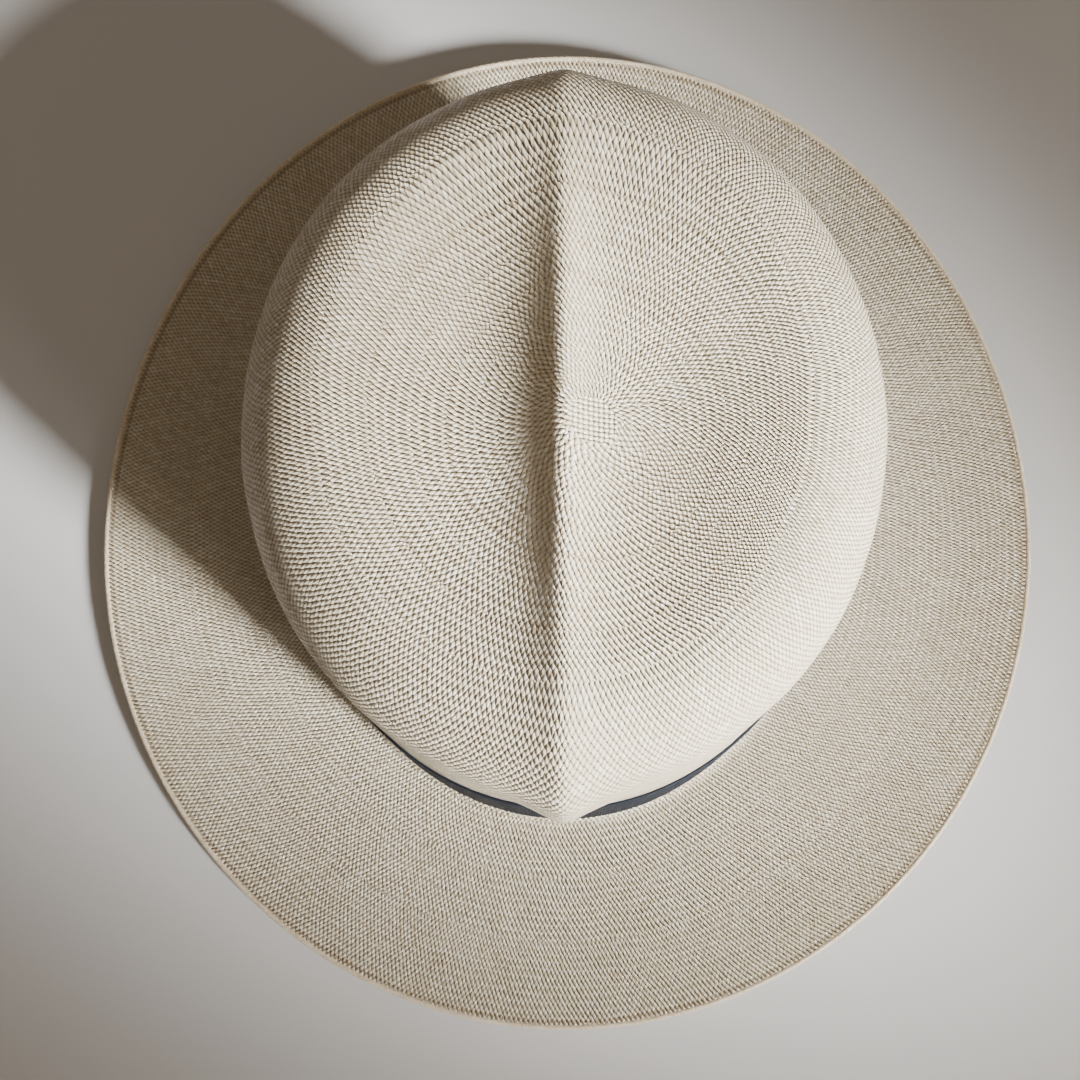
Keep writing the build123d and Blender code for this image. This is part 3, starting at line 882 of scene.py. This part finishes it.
def build_seam_patch(material):
    """The strip that backs the seam at the back of the leather."""
    s, w = np.meshgrid(np.linspace(-1, 1, 21), np.linspace(0, 1, 25), indexing="ij")
    t = PI / 2 + s * PATCH_HALF_WIDTH / HALF_WIDTH
    z = TAPE_TOP + 1 + w * (LEATHER_HIGH - 4 - TAPE_TOP)
    x, y = oval(t, wall_reach(t, z) + (TAPE_IN + TAPE_OUT) / 2)
    points = np.stack([x, y, z], -1).reshape(-1, 3)
    piece = make_mesh("seam_patch_cotton", points, grid_faces(21, 25, wrap=False).tolist())
    thicken(piece, PATCH)
    finish_piece(piece, material, "tape", "seam_patch")


def build_threads(pale, dark):
    turns = (np.arange(STITCH_COUNT) + 0.5) * 2 * PI / STITCH_COUNT
    foot = [seat(t, LEATHER_LOW + 2.2, LEATHER_IN) for t in turns]
    piece = make_mesh("sweatband_thread", *stitches([(m, a, u, -o) for m, a, u, o in foot], 3.0, 0.0))
    finish_piece(piece, pale, "pale_thread", "sweatband_stitches")

    heights = [LEATHER_LOW + 14 + 3.2 * i for i in range(7)]
    seam = [seat(PI / 2, z, LEATHER_IN - 0.1) for z in heights]
    seam = [(m, a, u, -o) for m, a, u, o in seam]
    lower = stitches(seam, 4.2, math.radians(28))
    upper = stitches(seam, 4.2, math.radians(-28), rise=0.5)
    crossed = joined([lower, upper])
    finish_piece(make_mesh("seam_thread", *crossed), pale, "pale_thread", "seam_stitches")

    turns = (np.arange(8) + 0.5) * 2 * PI / 8
    tacks = [seat(t, z, BAND_OUT) for t in turns for z in (BAND_LOW + 1.2, BAND_HIGH - 1.2)]
    piece = make_mesh("hatband_thread", *stitches(tacks, 1.9, PI / 2, radius=0.13))
    finish_piece(piece, dark, "dark_thread", "hatband_tacks")

    places = []
    for y in (3 - WING_LENGTH, WING_LENGTH - 3):
        for z in (BOW_MIDDLE - 14.0, BOW_MIDDLE + 14.0):
            places.append(seat(math.asin(y / HALF_LENGTH), z, WING_FLOOR + 0.9))
    piece = make_mesh("bow_thread", *stitches(places, 1.9, PI / 2, radius=0.15))
    finish_piece(piece, dark, "dark_thread", "bow_tacks")


def build_back_bow(material):
    """The small ribbon bow at the foot of the leather's seam, inside the hat."""
    home = seat(PI / 2, BACK_BOW_HEIGHT, LEATHER_IN)
    parts = []
    for direction in (-1, 1):
        s, w = np.meshgrid(np.linspace(0, 1, 61), np.linspace(-1, 1, 9), indexing="ij")
        turn = s * 2 * PI
        wide = 5.1 + 4.9 * -np.cos(turn)
        flare = 0.55 + 0.45 * smooth(wide / 6)
        local = np.stack([direction * (1.0 + wide), w * 2.1 * flare,
                          -2.4 - 1.35 * np.sin(turn) * flare - 0.12 * np.cos(w * 2 * PI)], -1)
        parts.append((in_seat(home, local).reshape(-1, 3), grid_faces(61, 9, wrap=False).tolist()))
        tail_home = seat(PI / 2 + direction * 0.055, BACK_BOW_HEIGHT - 4.6, LEATHER_IN)
        along, w = np.meshgrid(np.linspace(-1, 1, 41), np.linspace(-1, 1, 9), indexing="ij")
        lean = math.radians(-52 * direction)
        far = 4.7 * along + 0.9 * np.clip(along, 0, 1) * w
        side = w * 1.9
        local = np.stack([far * math.cos(lean) - side * math.sin(lean),
                          far * math.sin(lean) + side * math.cos(lean),
                          -0.65 - 0.25 * np.sin(along * 3.0)], -1)
        parts.append((in_seat(tail_home, local).reshape(-1, 3), grid_faces(41, 9, wrap=False).tolist()))
    piece = make_mesh("back_bow_ribbon", *joined(parts))
    thicken(piece, BACK_BOW_RIBBON)
    finish_piece(piece, material, "ribbon", "back_bow_loops")

    s, w = np.meshgrid(np.linspace(0, 2 * PI, 33)[:-1], np.linspace(-1, 1, 13), indexing="ij")
    bulge = 1 - 0.35 * w ** 4
    local = np.stack([w * 1.35, 2.55 * np.cos(s) * bulge, -2.5 + 1.75 * np.sin(s) * bulge
                      + 0.1 * np.cos(w * 3 * PI)], -1)
    points = in_seat(home, local).reshape(-1, 3)
    faces = (grid_faces(33, 13, wrap=False) % len(points)).tolist()
    knot = make_mesh("back_bow_knot_ribbon", points, faces)
    thicken(knot, BACK_BOW_RIBBON)
    finish_piece(knot, material, "ribbon", "back_bow_knot")


# ---------------------------------------------------------------- studio

CAMERA_PLACE = (0.68, -97.41, 363.85)   # mm, from the middle of the head oval
CAMERA_TILT = (13.54, 1.32, -0.05)      # degrees about X, Y and Z, from looking straight down
CAMERA_LENS = 36.07


def build_camera():
    data = bpy.data.cameras.new("camera")
    data.sensor_width = 36.0
    data.lens = CAMERA_LENS
    data.clip_start = 0.01
    data.clip_end = 20.0
    camera = bpy.data.objects.new("camera", data)
    bpy.context.collection.objects.link(camera)
    turns = [Matrix.Rotation(math.radians(a), 4, axis) for a, axis in zip(CAMERA_TILT, "XYZ")]
    place = Matrix.Translation(((np.array(CAMERA_PLACE) + SHIFT) * MM).tolist())
    camera.matrix_world = place @ turns[0] @ turns[1] @ turns[2]
    bpy.context.scene.camera = camera


def area_light(name, azimuth, height, distance, power, size, tint, spread=180):
    """A round lamp aimed at the crown, from angles in degrees and a distance in metres."""
    data = bpy.data.lights.new(name, "AREA")
    data.energy = power
    data.shape = "DISK"
    data.size = size
    data.color = tint
    data.spread = math.radians(spread)
    lamp = bpy.data.objects.new(name, data)
    bpy.context.collection.objects.link(lamp)
    turn = math.radians(azimuth)
    rise = math.radians(height)
    way = Vector((math.cos(turn) * math.cos(rise), math.sin(turn) * math.cos(rise), math.sin(rise)))
    aim = (-way).to_track_quat("-Z", "Y").to_matrix().to_4x4()
    lamp.matrix_world = Matrix.Translation(way * distance + Vector((0.0, 0.0, 0.06))) @ aim


def build_studio():
    bpy.ops.mesh.primitive_plane_add(size=6.0, location=(0, 0, -0.0005))
    floor = bpy.context.object
    floor.name = "floor"
    g = Graph("pale_floor")
    tone = g.noise(g.place(), 0.004, 2.0)
    g.surface(g.colour(tone, (0.66, 0.66, 0.66), (0.70, 0.695, 0.69)), 0.7)
    floor.data.materials.append(g.material)
    world = bpy.data.worlds.new("studio")
    bpy.context.scene.world = world
    world.use_nodes = True
    background = world.node_tree.nodes["Background"]
    background.inputs[0].default_value = (1.0, 0.82, 0.64, 1.0)
    background.inputs[1].default_value = 0.22
    area_light("crown key", -39, 28, distance=1.0, power=1.15, size=0.20, tint=(1.0, 0.99, 0.97), spread=20)
    area_light("wide key", -45, 24, distance=1.1, power=3.3, size=0.30, tint=(1.0, 0.95, 0.88))


def main():
    build_camera()
    ribbon = ribbon_material()
    tape = tape_material()
    build_straw()
    build_edge()
    build_hatband(ribbon)
    build_tail(ribbon)
    build_wing("bow_front_ribbon", -1, ribbon, "bow_front_wing")
    build_wing("bow_back_ribbon", 1, ribbon, "bow_back_wing")
    build_knot(ribbon)
    build_sweatband()
    build_reed()
    build_tape(tape)
    build_seam_patch(tape)
    pale = thread_material("beige_thread", (0.42, 0.33, 0.22), (0.72, 0.62, 0.46))
    dark = thread_material("navy_thread", (0.010, 0.014, 0.024), (0.045, 0.058, 0.085))
    build_threads(pale, dark)
    build_back_bow(ribbon)
    build_studio()


main()
